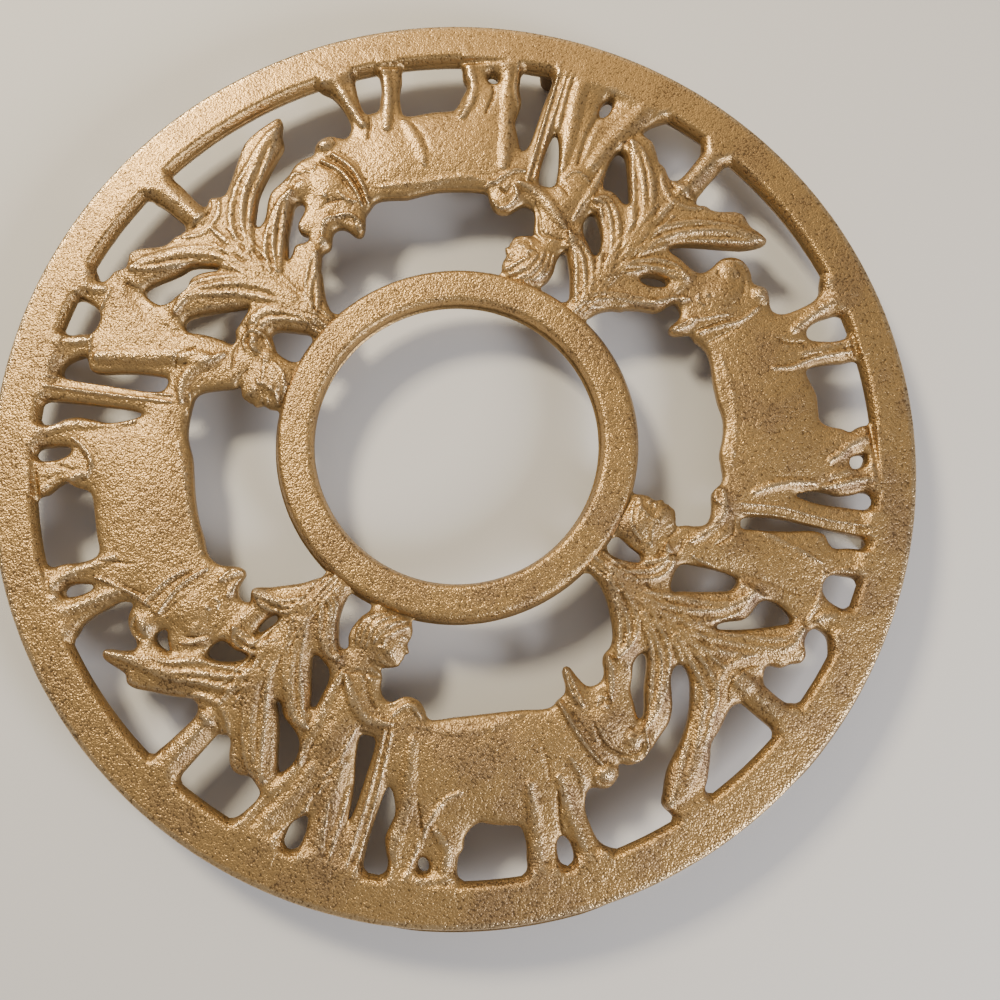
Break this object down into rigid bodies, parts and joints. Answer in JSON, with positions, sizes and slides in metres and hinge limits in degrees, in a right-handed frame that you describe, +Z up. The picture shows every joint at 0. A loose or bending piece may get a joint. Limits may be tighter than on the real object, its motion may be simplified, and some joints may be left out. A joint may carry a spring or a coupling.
{
  "type": "round footed trivet",
  "caption": "Round openwork cast trivet on short feet, with a hub ring, pastoral figure groups of children and cattle, and leaf sprays inside a flat rim.",
  "frame": {"origin": "on the table under the centre of the hub, at the bottom of the feet", "axes": "+Z up through the hub; the south figure group lies at -Y, the east group at +X"},
  "size_m": [0.203, 0.203, 0.013],
  "materials": {
    "casting": "satin bronze-brown paint over grainy cast iron, with dark pores and bright worn edges",
    "foot": "the same paint, duller on the feet"
  },
  "bodies": {
    "root": {"rim_ring": "casting", "hub_ring": "casting", "south_cow": "casting", "south_boy": "casting", "south_tail": "casting", "south_bell": "casting", "east_cow": "casting", "east_girl": "casting", "east_tail": "casting", "east_bell": "casting", "north_cow": "casting", "north_boy": "casting", "north_tail": "casting", "north_bell": "casting", "west_cow": "casting", "west_girl": "casting", "west_tail": "casting", "west_bell": "casting", "southwest_leaves": "casting", "southeast_leaves": "casting", "northeast_leaves": "casting", "northwest_leaves": "casting", "southwest_strut": "casting", "southeast_strut": "casting", "northeast_strut": "casting", "northwest_strut": "casting", "foot_south": "foot", "foot_east": "foot", "foot_north": "foot", "foot_west": "foot"}
  },
  "joints": []
}
